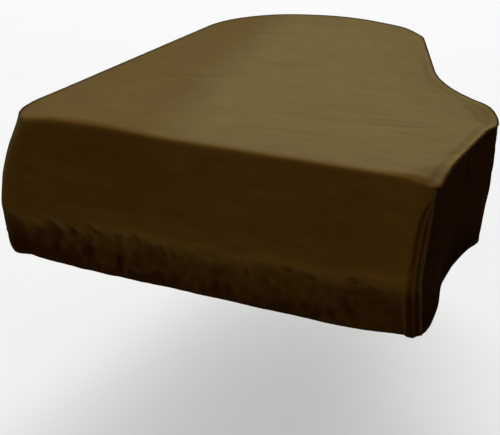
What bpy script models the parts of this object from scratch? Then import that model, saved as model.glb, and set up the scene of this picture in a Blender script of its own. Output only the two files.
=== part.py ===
"""A grand piano cover, as it hangs in use: a harp-shaped top with an apron in front and a skirt round it.

It is sewn from two cloths with a piping in the seam between them. The top panel runs on over the front
edge as the front apron, in one cloth. The side skirt runs from the right front corner round the tail to
the left front corner.

Metres, +Z up, +X to the right, +Y from the front to the tail. The origin is on the underside of the top
panel, in the middle of its length and width. The tables below measure Y from the front fold, and depth
down from the underside of the top panel.
"""

import math
from collections import namedtuple

import bmesh
import bpy
from mathutils import Vector

# Driving sizes
WIDTH = 1.50
LENGTH = 1.804
CLOTH = 0.003
PIPING_RADIUS = 0.0035
SEAM_GAP = 0.0005
FRONT_ROLL = 0.022
SEAM_ROLL = 0.005
SEAM_SHARE = 2 / 3

HALF_WIDTH = WIDTH / 2
MIDDLE_OF_CLOTH = CLOTH / 2
SEAM_CLEARANCE = PIPING_RADIUS + SEAM_GAP
SKIRT_TOP_DEPTH = SEAM_CLEARANCE - MIDDLE_OF_CLOTH
SEAM_STEP = 0.02

# Corners of the top panel, anticlockwise from above, each followed by the straight edge to the next.
# low_radius is the corner's radius at the level of the hem.
Corner = namedtuple("Corner", "name x y radius low_radius arc_steps edge_steps")
CORNERS = (
    Corner("right front", HALF_WIDTH, 0.000, 0.060, 0.060, 6, 12),
    Corner("back of the cheek", HALF_WIDTH, 0.721, 0.220, 0.240, 6, 1),
    Corner("waist", 0.455, 0.925, 0.770, 0.720, 8, 10),
    Corner("bent side to tail", 0.116, 1.697, 0.270, 0.270, 6, 2),
    Corner("middle of the tail", -0.260, 1.825, 0.520, 0.520, 6, 3),
    Corner("tail to spine", -HALF_WIDTH, 1.707, 0.395, 0.395, 9, 22),
    Corner("left front", -HALF_WIDTH, 0.000, 0.100, 0.060, 6, 44),
)
LAST_CORNER = len(CORNERS) - 1
FULL_ROUND = 2 * len(CORNERS)

# How the walls stand below the top: the apron forward of the front fold, at its right end and at its left,
# and the skirt drawn in under the top's edge.
Level = namedtuple("Level", "depth forward_right forward_left drawn_in")
LEVELS = (
    Level(0.00, 0.000, 0.000, 0.004),
    Level(0.06, 0.014, 0.028, 0.009),
    Level(0.13, 0.039, 0.072, 0.010),
    Level(0.20, 0.068, 0.104, 0.014),
    Level(0.28, 0.090, 0.109, 0.025),
    Level(0.34, 0.084, 0.078, 0.031),
    Level(0.40, 0.075, 0.060, 0.037),
    Level(0.48, 0.064, 0.046, 0.042),
)

# Below this depth the apron turns under between its two held-out ends
TUCK_DEPTH = 0.285
TUCK_HEIGHT = 0.15
TUCK_BACK = 0.026
TUCK_END = 0.705
TUCK_END_WIDTH = 0.05

# How far the cloth drops at the right and at the left, by the distance from the front corner: minus along
# the front, plus along the side.
Drop = namedtuple("Drop", "along right left")
DROPS = (
    Drop(-0.75, 0.487, 0.487),
    Drop(-0.45, 0.486, 0.490),
    Drop(-0.20, 0.482, 0.488),
    Drop(-0.06, 0.470, 0.440),
    Drop(0.02, 0.459, 0.408),
    Drop(0.09, 0.462, 0.412),
    Drop(0.15, 0.442, 0.418),
    Drop(0.22, 0.412, 0.412),
    Drop(0.40, 0.405, 0.402),
    Drop(0.62, 0.409, 0.400),
    Drop(0.90, 0.402, 0.402),
)

# Soft folds: place along the cloth, half width, how far it stands out, the depth where it begins, and how
# far its foot wanders sideways. The apron's places are X, and the skirt's run from the right front seam.
Fold = namedtuple("Fold", "place half_width height begins wander")
APRON_FOLDS = (
    Fold(-0.66, 0.055, 0.007, 0.20, 0.020),
    Fold(-0.56, 0.050, -0.008, 0.22, 0.030),
    Fold(-0.48, 0.048, 0.008, 0.24, 0.025),
    Fold(-0.38, 0.050, 0.009, 0.25, 0.030),
    Fold(-0.30, 0.045, -0.006, 0.25, 0.010),
    Fold(-0.22, 0.055, 0.007, 0.26, 0.015),
    Fold(-0.11, 0.060, -0.007, 0.27, -0.010),
    Fold(0.00, 0.050, 0.006, 0.28, 0.000),
    Fold(0.10, 0.060, -0.006, 0.27, 0.010),
    Fold(0.22, 0.060, 0.007, 0.28, -0.015),
    Fold(0.35, 0.070, -0.006, 0.28, 0.000),
    Fold(0.48, 0.070, 0.006, 0.29, -0.010),
    Fold(0.62, 0.060, -0.007, 0.26, 0.010),
    Fold(0.715, 0.035, 0.006, 0.08, 0.000),
)
SKIRT_FOLDS = (
    Fold(0.16, 0.09, 0.007, 0.10, 0.00),
    Fold(0.36, 0.12, -0.006, 0.16, 0.02),
    Fold(0.58, 0.10, 0.005, 0.12, -0.02),
    Fold(0.84, 0.09, 0.012, 0.06, 0.00),
    Fold(1.02, 0.12, -0.012, 0.05, 0.03),
    Fold(1.24, 0.11, 0.015, 0.05, 0.00),
    Fold(1.46, 0.12, -0.010, 0.08, -0.03),
    Fold(1.70, 0.11, 0.010, 0.10, 0.02),
    Fold(1.92, 0.12, -0.009, 0.08, 0.00),
    Fold(2.16, 0.13, 0.012, 0.07, -0.02),
    Fold(2.42, 0.13, -0.010, 0.09, 0.02),
    Fold(2.70, 0.14, 0.012, 0.06, 0.00),
    Fold(2.98, 0.13, -0.009, 0.08, -0.02),
    Fold(3.26, 0.12, 0.010, 0.10, 0.02),
    Fold(3.56, 0.14, -0.008, 0.12, 0.00),
    Fold(3.86, 0.12, 0.009, 0.10, -0.03),
    Fold(4.14, 0.13, -0.008, 0.12, 0.02),
)
FULL_FOLD_DEPTH = 0.12
HELD_OUT = 0.30
FLAT_AT_SEAM = 0.10

# Places where the top panel sinks a little: its corners, with nothing under them.
Dip = namedtuple("Dip", "x y reach depth")
DIPS = (
    Dip(-0.75, 0.00, 0.20, 0.034),
    Dip(0.75, 0.00, 0.10, 0.008),
    Dip(0.76, 0.66, 0.17, 0.020),
    Dip(0.13, 1.68, 0.16, 0.008),
)

# Rings of the top panel, as shares of the way from its middle to its edge
TOP_MIDDLE = Vector((-0.12, 0.78))
TOP_RINGS = (0.985, 0.90, 0.72, 0.45)
ROLL_ANGLES = (30, 60)
ROWS = 11


def smoothly(rows, at, value, wanted):
    """The wanted column where column `at` has this value, on a smooth curve through the rows."""
    spots = [getattr(row, at) for row in rows]
    heights = [getattr(row, wanted) for row in rows]
    if value <= spots[0]:
        return heights[0]
    if value >= spots[-1]:
        return heights[-1]
    i = next(n for n in range(len(spots) - 1) if value <= spots[n + 1])

    def slope(n):
        low, high = max(n - 1, 0), min(n + 1, len(spots) - 1)
        return (heights[high] - heights[low]) / (spots[high] - spots[low])

    span = spots[i + 1] - spots[i]
    t = (value - spots[i]) / span
    return (
        heights[i] * (2 * t**3 - 3 * t**2 + 1)
        + slope(i) * span * (t**3 - 2 * t**2 + t)
        + heights[i + 1] * (3 * t**2 - 2 * t**3)
        + slope(i + 1) * span * (t**3 - t**2)
    )


def ease(share):
    """0 below 0, 1 above 1, and a smooth rise between."""
    share = min(max(share, 0.0), 1.0)
    return share * share * (3 - 2 * share)


def bump(offset):
    """1 at 0, falling smoothly to 0 at -1 and 1."""
    return 0.5 + 0.5 * math.cos(math.pi * offset) if abs(offset) < 1 else 0.0


def turned(vector, angle):
    c, s = math.cos(angle), math.sin(angle)
    return Vector((vector.x * c - vector.y * s, vector.x * s + vector.y * c))


def corner_point(index, depth):
    """Where the two straight edges at a corner would meet, this far below the top."""
    corner = CORNERS[index % len(CORNERS)]
    if corner.y > 0:
        return Vector((corner.x, corner.y))
    forward = "forward_right" if corner.x > 0 else "forward_left"
    return Vector((corner.x, -smoothly(LEVELS, "depth", depth, forward)))


def corner_arc(index, depth):
    """Start, centre, first direction and turn of a corner's arc, this far below the top."""
    corner = CORNERS[index % len(CORNERS)]
    before, here, after = (corner_point(index + n, depth) for n in (-1, 0, 1))
    way_in, way_out = (here - before).normalized(), (after - here).normalized()
    turn = math.atan2(way_in.cross(way_out), way_in.dot(way_out))
    lowered = ease(depth / LEVELS[-1].depth)
    radius = corner.radius + (corner.low_radius - corner.radius) * lowered
    start = here - way_in * radius * math.tan(abs(turn) / 2)
    centre = start + turned(way_in, math.copysign(math.pi / 2, turn)) * radius
    return start, centre, way_in, turn


def on_arc(index, share, depth):
    start, centre, way_in, turn = corner_arc(index, depth)
    return centre + turned(start - centre, turn * share), turned(way_in, turn * share)


def plan_at(station, depth):
    """Point and direction on the cover's outline, seen from above. A station's even whole numbers begin
    the corners' arcs, and its odd ones the straight edges that follow them."""
    station %= FULL_ROUND
    part, share = int(station), station - int(station)
    corner = part // 2
    if part % 2 == 0:
        return on_arc(corner, share, depth)
    begin, way = on_arc(corner, 1.0, depth)
    end = on_arc((corner + 1) % len(CORNERS), 0.0, depth)[0]
    return begin.lerp(end, share), way


def stations_from(first, last):
    """Stations from first to last, at each corner's and each edge's own steps."""
    found = []
    for part in range(FULL_ROUND + 2):
        corner = CORNERS[(part // 2) % len(CORNERS)]
        steps = corner.edge_steps if part % 2 else corner.arc_steps
        found += [part + n / steps for n in range(steps)]
    return [s for s in found if first - 1e-6 <= s <= last + 1e-6]


RIGHT_SEAM = SEAM_SHARE
LEFT_SEAM = 2 * LAST_CORNER + 1 - SEAM_SHARE
SKIRT_STATIONS = stations_from(RIGHT_SEAM, LEFT_SEAM)
APRON_STATIONS = stations_from(LEFT_SEAM, FULL_ROUND + RIGHT_SEAM)


def distances_of(stations):
    """Distance along the top edge of each station from the first."""
    found = [0.0]
    for before, here in zip(stations, stations[1:]):
        step = (plan_at(here, 0)[0] - plan_at(before, 0)[0]).length
        found.append(found[-1] + step)
    return found


SKIRT_DISTANCE = dict(zip(SKIRT_STATIONS, distances_of(SKIRT_STATIONS)))
SKIRT_LENGTH = SKIRT_DISTANCE[SKIRT_STATIONS[-1]]


def from_front_corner(station):
    """Distance from the nearer front corner: minus along the front, plus along the side."""
    if station in SKIRT_DISTANCE:
        along = SKIRT_DISTANCE[station]
        return min(along, SKIRT_LENGTH - along)
    return abs(plan_at(station, 0)[0].x) - HALF_WIDTH


def drop_at(station):
    side = "right" if plan_at(station, 0)[0].x > 0 else "left"
    return smoothly(DROPS, "along", from_front_corner(station), side)


def folded_out(folds, place, depth):
    """How far the folds push the cloth out at this place."""
    total = 0.0
    for fold in folds:
        grown = ease((depth - fold.begins) / FULL_FOLD_DEPTH)
        middle = fold.place + fold.wander * grown
        total += fold.height * grown * bump((place - middle) / fold.half_width)
    return total


def drawn_in_at(station, depth):
    """How far the skirt is drawn in. The front corners hold it out, and the apron has none."""
    if station not in SKIRT_DISTANCE:
        return 0.0
    return smoothly(LEVELS, "depth", depth, "drawn_in") * ease(from_front_corner(station) / HELD_OUT)


def tucked_under(place, depth):
    """How far the apron's lower band turns back between its two ends."""
    lowered = ease((depth - TUCK_DEPTH) / TUCK_HEIGHT)
    return TUCK_BACK * lowered * ease((TUCK_END - abs(place)) / TUCK_END_WIDTH)


def row_depth(station, row):
    """Depth of a row of points: the apron, the skirt and the piping share them, so their edges agree."""
    return drop_at(station) * row / ROWS


def sunk(point):
    """The point, lowered where the top panel dips."""
    low = sum(d.depth * bump(min(math.hypot(point.x - d.x, point.y - d.y) / d.reach, 1)) for d in DIPS)
    return Vector((point.x, point.y, point.z - low))


def placed(point):
    """A point of the tables, moved to the part's origin."""
    return Vector((point.x, point.y - LENGTH / 2, point.z))


def outward(way):
    return Vector((way.y, -way.x))


def wall_point(station, depth, along=0.0):
    """Middle of the hanging cloth at a station, this far below the top, moved along the wall."""
    spot, way = plan_at(station, depth)
    if station in SKIRT_DISTANCE:
        distance = SKIRT_DISTANCE[station]
        out = folded_out(SKIRT_FOLDS, distance, depth) * ease(from_front_corner(station) / FLAT_AT_SEAM)
        out -= drawn_in_at(station, depth)
    else:
        out = folded_out(APRON_FOLDS, spot.x, depth) - tucked_under(spot.x, depth)
    spot = spot + outward(way) * out + way * along
    return Vector((spot.x, spot.y, -depth))


def beside_piping(station, depth):
    """Level distance from the piping's middle to a cloth's edge, wider where the seam leans."""
    above, below = wall_point(station, max(depth - SEAM_STEP, 0)), wall_point(station, depth + SEAM_STEP)
    way = plan_at(station, depth)[1]
    lean = (below - above).normalized().dot(Vector((way.x, way.y, 0)))
    return SEAM_CLEARANCE / math.sqrt(1 - lean * lean)


def roll_at(station):
    """Radius of the fold from the top panel to the apron: full along the front, small at the seams."""
    arc_share = min(abs(station - FULL_ROUND), abs(station - (FULL_ROUND - 1)))
    if FULL_ROUND - 1 <= station <= FULL_ROUND:
        return FRONT_ROLL
    return FRONT_ROLL + (SEAM_ROLL - FRONT_ROLL) * min(arc_share / SEAM_SHARE, 1.0)


def apron_shift(station, depth):
    """Room for the piping beside the apron's two side edges."""
    if station == APRON_STATIONS[0]:
        return beside_piping(station, depth)
    return -beside_piping(station, depth) if station == APRON_STATIONS[-1] else 0.0


def apron_column(station):
    """The apron's cloth at a station: round the front fold, then down to the hem."""
    roll = roll_at(station)
    spot, way = plan_at(station, 0)
    column = []
    for angle in ROLL_ANGLES:
        inside = roll * (1 - math.sin(math.radians(angle)))
        edge = spot - outward(way) * inside + way * apron_shift(station, 0)
        fallen = roll * (1 - math.cos(math.radians(angle)))
        column.append(Vector((edge.x, edge.y, MIDDLE_OF_CLOTH - fallen)))
    depths = [roll - MIDDLE_OF_CLOTH] + [row_depth(station, row) for row in range(1, ROWS + 1)]
    return column + [wall_point(station, depth, apron_shift(station, depth)) for depth in depths]


def top_edge_point(station):
    """Edge of the flat top panel: at the start of the front fold, or beside the piping."""
    spot, way = plan_at(station, 0)
    on_apron = station in APRON_STATIONS
    inside = roll_at(station) if on_apron else SEAM_CLEARANCE + drawn_in_at(station, 0)
    shift = apron_shift(station, 0) if on_apron else 0.0
    spot = spot - outward(way) * inside + way * shift
    return Vector((spot.x, spot.y, MIDDLE_OF_CLOTH))


def skirt_column(station):
    """The skirt's cloth at a station, from the piping down to the hem."""
    side = {SKIRT_STATIONS[0]: 1, SKIRT_STATIONS[-1]: -1}.get(station, 0)
    depths = [SKIRT_TOP_DEPTH] + [row_depth(station, row) for row in range(1, ROWS + 1)]
    return [wall_point(station, depth, side * beside_piping(station, depth)) for depth in depths]


def coloured(name, red, green, blue, roughness):
    """A plain finish of this colour."""
    finish = bpy.data.materials.new(name)
    finish.use_nodes = True
    shader = finish.node_tree.nodes["Principled BSDF"]
    shader.inputs["Base Color"].default_value = (red, green, blue, 1.0)
    shader.inputs["Roughness"].default_value = roughness
    shader.inputs["Metallic"].default_value = 0.0
    return finish


def cloth_object(name, mesh_maker, finish):
    """A sheet with the cloth's thickness, half to each side of the surface that mesh_maker builds."""
    mesh = bpy.data.meshes.new(name)
    bm = bmesh.new()
    mesh_maker(bm)
    bmesh.ops.recalc_face_normals(bm, faces=bm.faces)
    bm.to_mesh(mesh)
    bm.free()
    mesh.materials.append(finish)
    mesh.shade_smooth()
    sheet = bpy.data.objects.new(name, mesh)
    bpy.context.scene.collection.objects.link(sheet)
    thick = sheet.modifiers.new("cloth thickness", "SOLIDIFY")
    thick.thickness = CLOTH
    thick.offset = 0.0
    thick.use_even_offset = True
    return sheet


def columns_joined(bm, columns):
    """Faces between neighbouring columns of vertices."""
    for left, right in zip(columns, columns[1:]):
        for row in range(len(left) - 1):
            bm.faces.new((left[row], right[row], right[row + 1], left[row + 1]))


def top_and_front_mesh(bm):
    """The top panel as rings round a flat middle, with the apron hanging from its front edge."""
    around = SKIRT_STATIONS[1:-1] + APRON_STATIONS
    edge = [top_edge_point(station) for station in around]
    middle = Vector((TOP_MIDDLE.x, TOP_MIDDLE.y, MIDDLE_OF_CLOTH))
    rings = [[bm.verts.new(placed(sunk(p))) for p in edge]]
    for share in TOP_RINGS:
        rings.append([bm.verts.new(placed(sunk(middle.lerp(p, share)))) for p in edge])
    for outer, inner in zip(rings, rings[1:]):
        closed = zip(outer, outer[1:] + outer[:1], inner[1:] + inner[:1], inner)
        for corners in closed:
            bm.faces.new(corners)
    bm.faces.new(rings[-1])
    first = len(SKIRT_STATIONS) - 2
    columns = []
    for n, station in enumerate(APRON_STATIONS):
        below = [bm.verts.new(placed(sunk(p))) for p in apron_column(station)]
        columns.append([rings[0][first + n], *below])
    columns_joined(bm, columns)


def side_skirt_mesh(bm):
    """The skirt from the piping down to its hem, round the cheek, the bent side, the tail and the spine."""
    columns_joined(bm, [[bm.verts.new(placed(sunk(p))) for p in skirt_column(s)] for s in SKIRT_STATIONS])


def piping_route():
    """Up the right front seam from the hem, round the top edge and down the left front seam."""
    def seam(station):
        return [wall_point(station, row_depth(station, row)) for row in range(1, ROWS + 1)]

    edge = [wall_point(station, 0) + Vector((0, 0, MIDDLE_OF_CLOTH)) for station in SKIRT_STATIONS]
    return seam(SKIRT_STATIONS[0])[::-1] + edge + seam(SKIRT_STATIONS[-1])


def make_piping(finish):
    curve = bpy.data.curves.new("piping", "CURVE")
    curve.dimensions = "3D"
    curve.bevel_depth = PIPING_RADIUS
    curve.bevel_resolution = 2
    curve.use_fill_caps = True
    route = [placed(sunk(point)) for point in piping_route()]
    line = curve.splines.new("POLY")
    line.points.add(len(route) - 1)
    for spot, point in zip(line.points, route):
        spot.co = (*point, 1.0)
    curve.materials.append(finish)
    bpy.context.scene.collection.objects.link(bpy.data.objects.new("piping", curve))


def main():
    for thing in list(bpy.data.objects):
        bpy.data.objects.remove(thing)
    cloth_object("top_and_front", top_and_front_mesh, coloured("cover cloth", 0.090, 0.066, 0.026, 0.72))
    cloth_object("side_skirt", side_skirt_mesh, coloured("skirt cloth", 0.086, 0.062, 0.024, 0.72))
    make_piping(coloured("piping cloth", 0.078, 0.056, 0.022, 0.66))


main()
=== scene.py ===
"""The looks of the grand piano cover: its two cloths, their creases and hems, the piping and the stitches.

Metres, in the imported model's frame. The tables below measure Y from the front fold, and depth down from
the underside of the top panel, as the cover's own source does.
"""

import math
from collections import namedtuple
from functools import lru_cache

import bmesh
import bpy
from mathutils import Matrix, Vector, kdtree, noise


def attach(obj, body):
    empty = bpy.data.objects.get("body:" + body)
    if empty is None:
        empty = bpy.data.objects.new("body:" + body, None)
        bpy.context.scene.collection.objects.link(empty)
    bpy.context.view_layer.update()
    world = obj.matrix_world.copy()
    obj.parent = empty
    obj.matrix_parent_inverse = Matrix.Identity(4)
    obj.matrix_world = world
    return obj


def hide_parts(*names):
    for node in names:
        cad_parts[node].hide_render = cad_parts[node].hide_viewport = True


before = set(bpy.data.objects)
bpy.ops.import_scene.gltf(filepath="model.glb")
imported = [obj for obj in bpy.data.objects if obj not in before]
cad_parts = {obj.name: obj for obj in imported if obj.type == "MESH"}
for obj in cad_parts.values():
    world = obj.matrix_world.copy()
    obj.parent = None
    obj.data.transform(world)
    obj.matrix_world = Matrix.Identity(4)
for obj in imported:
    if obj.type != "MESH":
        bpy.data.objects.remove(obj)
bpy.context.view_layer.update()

# The camera, and the level of the floor under the hanging cover
CAMERA_PLACE = (1.660, -3.769, 1.138)
CAMERA_TURN = (67.45, 0.67, 27.18)
CAMERA_LENS = 82.6
FLOOR_LEVEL = -1.031
FLOOR_SIZE = 100.0

# Sizes of the cover
WIDTH = 1.50
LENGTH = 1.804
SOLID_CLOTH = 0.003
CLOTH = 0.0008
PIPING_RADIUS = 0.0035
PIPING_UNEVEN = 0.10
FRONT_ROLL = 0.017
SEAM_ROLL = 0.005
SEAM_SHARE = 2 / 3
HEM = 0.015
ALLOWANCE = 0.016

HALF_WIDTH = WIDTH / 2
MIDDLE_OF_CLOTH = SOLID_CLOTH / 2
SEWN_EDGE = PIPING_RADIUS - 0.0003
SKIRT_TOP_DEPTH = SEWN_EDGE - MIDDLE_OF_CLOTH

# Corners of the top panel, anticlockwise from above, each followed by the straight edge to the next. Their
# radius changes by these depths below the top.
Corner = namedtuple("Corner", "name x y radius low_radius hem_radius")
CORNERS = (
    Corner("right front", HALF_WIDTH, 0.000, 0.060, 0.060, 0.060),
    Corner("back of the cheek", HALF_WIDTH, 0.721, 0.220, 0.240, 0.240),
    Corner("waist", 0.455, 0.925, 0.770, 0.720, 0.720),
    Corner("bent side to tail", 0.116, 1.697, 0.270, 0.270, 0.270),
    Corner("middle of the tail", -0.260, 1.825, 0.520, 0.520, 0.520),
    Corner("tail to spine", -HALF_WIDTH, 1.707, 0.395, 0.395, 0.395),
    Corner("left front", -HALF_WIDTH, 0.000, 0.130, 0.100, 0.040),
)
LOW_AT = 0.09
NEAR_HEM_FROM = 0.20
NEAR_HEM_AT = 0.42
LAST_CORNER = len(CORNERS) - 1
FULL_ROUND = 2 * len(CORNERS)
RIGHT_SEAM = SEAM_SHARE
LEFT_SEAM = 2 * LAST_CORNER + 1 - SEAM_SHARE
TAIL_RIGHT = 6.5
TAIL_LEFT = 10.5

# How the walls stand below the top: the apron forward of the front fold, at its right end and at its left,
# and the skirt drawn in under the top's edge
Level = namedtuple("Level", "depth forward_right forward_left drawn_in")
LEVELS = (
    Level(0.00, 0.000, 0.000, 0.004),
    Level(0.06, 0.014, 0.030, 0.009),
    Level(0.13, 0.039, 0.071, 0.010),
    Level(0.20, 0.068, 0.098, 0.014),
    Level(0.28, 0.090, 0.100, 0.025),
    Level(0.34, 0.084, 0.078, 0.031),
    Level(0.40, 0.075, 0.060, 0.037),
    Level(0.48, 0.064, 0.050, 0.042),
)

# Below this depth the apron turns under between its two held-out ends, from a wavering line
TUCK_DEPTH = 0.283
TUCK_HEIGHT = 0.13
TUCK_BACK = 0.026
TUCK_LEFT = (-0.705, 0.05)
TUCK_RIGHT = (0.722, 0.03)
TUCK_WAVER = 0.026
# The line and the band's puckers grow calm towards this distance from the middle
BAND_END = 0.70

# The apron's right front corner: a deep crease that leaves the seam at the top and runs down beside it
PleatLine = namedtuple("PleatLine", "depth beside")
PLEAT_LINE = (
    PleatLine(0.00, 0.000),
    PleatLine(0.03, 0.006),
    PleatLine(0.06, 0.019),
    PleatLine(0.10, 0.031),
    PleatLine(0.20, 0.035),
    PleatLine(0.50, 0.037),
)
# Grooves and ridges beside that crease: how far toward the seam, half width, and height
Pleat = namedtuple("Pleat", "toward_seam half_width height")
PLEATS = (
    Pleat(-0.018, 0.016, 0.0030),
    Pleat(0.000, 0.009, -0.0110),
    Pleat(0.012, 0.009, 0.0040),
    Pleat(0.022, 0.006, -0.0040),
)

# How far the cloth drops, by the distance from the front corner: minus along the front, plus along the side
Drop = namedtuple("Drop", "along right left")
DROPS = (
    Drop(-0.75, 0.487, 0.487),
    Drop(-0.45, 0.486, 0.490),
    Drop(-0.20, 0.482, 0.483),
    Drop(-0.06, 0.466, 0.444),
    Drop(0.02, 0.454, 0.390),
    Drop(0.09, 0.460, 0.394),
    Drop(0.15, 0.442, 0.410),
    Drop(0.22, 0.412, 0.412),
    Drop(0.40, 0.405, 0.402),
    Drop(0.62, 0.409, 0.400),
    Drop(0.90, 0.402, 0.402),
)

# Soft folds: place along the cloth, half width, how far it stands out, the depth where it begins, and how
# far its foot wanders sideways. The apron's places are X, and the skirt's run from the right front seam.
Fold = namedtuple("Fold", "place half_width height begins wander")
APRON_FOLDS = (
    Fold(-0.66, 0.055, 0.007, 0.20, 0.020),
    Fold(-0.56, 0.050, -0.008, 0.22, 0.030),
    Fold(-0.48, 0.048, 0.008, 0.24, 0.025),
    Fold(-0.38, 0.050, 0.009, 0.25, 0.030),
    Fold(-0.30, 0.045, -0.006, 0.25, 0.010),
    Fold(-0.22, 0.055, 0.007, 0.26, 0.015),
    Fold(-0.11, 0.060, -0.007, 0.27, -0.010),
    Fold(0.00, 0.050, 0.006, 0.28, 0.000),
    Fold(0.10, 0.060, -0.006, 0.27, 0.010),
    Fold(0.22, 0.060, 0.007, 0.28, -0.015),
    Fold(0.35, 0.070, -0.006, 0.28, 0.000),
    Fold(0.48, 0.070, 0.006, 0.29, -0.010),
    Fold(0.62, 0.060, -0.007, 0.26, 0.010),
    Fold(0.715, 0.035, 0.006, 0.08, 0.000),
)
SKIRT_FOLDS = (
    Fold(0.16, 0.09, 0.007, 0.10, 0.00),
    Fold(0.36, 0.12, -0.006, 0.16, 0.02),
    Fold(0.58, 0.10, 0.005, 0.12, -0.02),
    Fold(0.84, 0.09, 0.012, 0.06, 0.00),
    Fold(1.02, 0.12, -0.012, 0.05, 0.03),
    Fold(1.24, 0.11, 0.015, 0.05, 0.00),
    Fold(1.46, 0.12, -0.010, 0.08, -0.03),
    Fold(1.70, 0.11, 0.010, 0.10, 0.02),
    Fold(1.92, 0.12, -0.009, 0.08, 0.00),
    Fold(2.16, 0.13, 0.012, 0.07, -0.02),
    Fold(2.42, 0.13, -0.010, 0.09, 0.02),
    Fold(2.70, 0.14, 0.012, 0.06, 0.00),
    Fold(2.98, 0.13, -0.009, 0.08, -0.02),
    Fold(3.26, 0.12, 0.010, 0.10, 0.02),
    Fold(3.56, 0.14, -0.008, 0.12, 0.00),
    Fold(3.86, 0.12, 0.009, 0.10, -0.03),
    Fold(4.14, 0.13, -0.008, 0.12, 0.02),
)
FULL_FOLD_DEPTH = 0.12
# The cloths lie even beside the front corners' seams: how far the drawing in, the folds, and the creases
# and the piping's room take to begin
HELD_OUT = 0.30
FLAT_AT_SEAM = 0.10
SEWN_REACH = 0.012

# Places where the top panel sinks a little, at its corners, and one low rise, as a negative dip. The cloth
# that hangs there goes with it, less and less down to the dip's foot.
Dip = namedtuple("Dip", "x y reach depth foot")
DIPS = (
    Dip(-0.75, 0.00, 0.20, 0.015, 0.38),
    Dip(-0.42, 0.00, 0.34, -0.009, 0.38),
    Dip(0.80, 0.03, 0.155, 0.034, 0.30),
    Dip(0.76, 0.66, 0.17, 0.020, 9.0),
    Dip(0.13, 1.68, 0.16, 0.008, 9.0),
)

# Creases: from one end to the other, half width, how far it stands out, and how far its middle bows aside.
# On the top the ends are X and Y, on the apron X and depth, on the skirt distance from the seam and depth.
Crease = namedtuple("Crease", "u0 v0 u1 v1 half_width height bow")
TOP_CREASES = (
    Crease(-0.70, 1.25, -0.42, 1.33, 0.022, 0.0018, 0.010),
    Crease(-0.62, 1.37, -0.30, 1.41, 0.018, -0.0016, 0.008),
    Crease(-0.30, 0.95, 0.02, 1.00, 0.020, -0.0018, 0.006),
    Crease(-0.24, 1.02, 0.10, 1.05, 0.016, 0.0014, 0.006),
    Crease(-0.55, 0.63, -0.28, 0.74, 0.024, -0.0016, 0.012),
    Crease(-0.70, 0.86, -0.40, 0.92, 0.020, 0.0014, -0.008),
    Crease(0.20, 0.40, 0.62, 0.47, 0.022, -0.0018, 0.010),
    Crease(0.26, 0.46, 0.66, 0.55, 0.018, 0.0014, 0.008),
    Crease(0.02, 0.22, 0.34, 0.27, 0.020, -0.0014, 0.006),
    Crease(-0.12, 1.52, 0.10, 1.50, 0.020, 0.0014, 0.006),
    Crease(0.58, 0.76, 0.72, 0.58, 0.018, -0.0030, -0.012),
    Crease(0.54, 0.72, 0.70, 0.50, 0.016, 0.0018, -0.010),
    Crease(0.66, 0.16, 0.745, 0.34, 0.016, -0.0016, 0.008),
)
APRON_CREASES = (
    Crease(-0.440, 0.298, -0.404, 0.340, 0.013, 0.0075, 0.002),
    Crease(-0.462, 0.304, -0.432, 0.348, 0.012, -0.0065, 0.002),
    Crease(-0.346, 0.275, -0.304, 0.318, 0.013, 0.0080, 0.002),
    Crease(-0.372, 0.282, -0.340, 0.330, 0.012, -0.0070, 0.002),
    Crease(-0.280, 0.312, -0.250, 0.322, 0.020, -0.0075, 0.000),
    Crease(-0.206, 0.302, -0.180, 0.310, 0.020, -0.0070, 0.000),
    Crease(-0.258, 0.372, -0.236, 0.396, 0.012, 0.0050, 0.000),
    Crease(-0.545, 0.312, -0.515, 0.342, 0.016, -0.0050, 0.000),
    Crease(-0.600, 0.318, -0.560, 0.330, 0.016, 0.0040, 0.000),
    Crease(-0.120, 0.318, -0.114, 0.370, 0.010, -0.0042, 0.000),
    Crease(-0.098, 0.318, -0.094, 0.380, 0.010, 0.0036, 0.000),
    Crease(-0.076, 0.320, -0.074, 0.372, 0.009, -0.0036, 0.000),
    Crease(-0.014, 0.316, -0.008, 0.376, 0.011, -0.0044, 0.000),
    Crease(0.040, 0.334, 0.086, 0.342, 0.016, 0.0050, 0.004),
    Crease(0.184, 0.290, 0.189, 0.386, 0.009, -0.0065, 0.002),
    Crease(0.204, 0.300, 0.208, 0.370, 0.010, 0.0040, 0.000),
    Crease(0.236, 0.356, 0.264, 0.390, 0.009, -0.0042, 0.002),
    Crease(0.254, 0.352, 0.284, 0.386, 0.010, 0.0036, 0.002),
    Crease(0.325, 0.296, 0.345, 0.322, 0.017, -0.0075, 0.000),
    Crease(0.395, 0.312, 0.415, 0.332, 0.018, -0.0055, 0.000),
    Crease(0.440, 0.308, 0.450, 0.334, 0.016, 0.0045, 0.000),
    Crease(0.535, 0.288, 0.560, 0.312, 0.018, -0.0075, 0.000),
    Crease(0.590, 0.296, 0.634, 0.308, 0.018, 0.0055, 0.004),
    Crease(0.300, 0.225, 0.430, 0.238, 0.014, -0.0016, 0.003),
    Crease(0.180, 0.205, 0.280, 0.222, 0.014, -0.0013, 0.003),
    Crease(0.500, 0.060, 0.690, 0.090, 0.018, -0.0016, 0.004),
    Crease(-0.700, 0.110, -0.560, 0.160, 0.020, -0.0014, 0.006),
)
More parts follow.
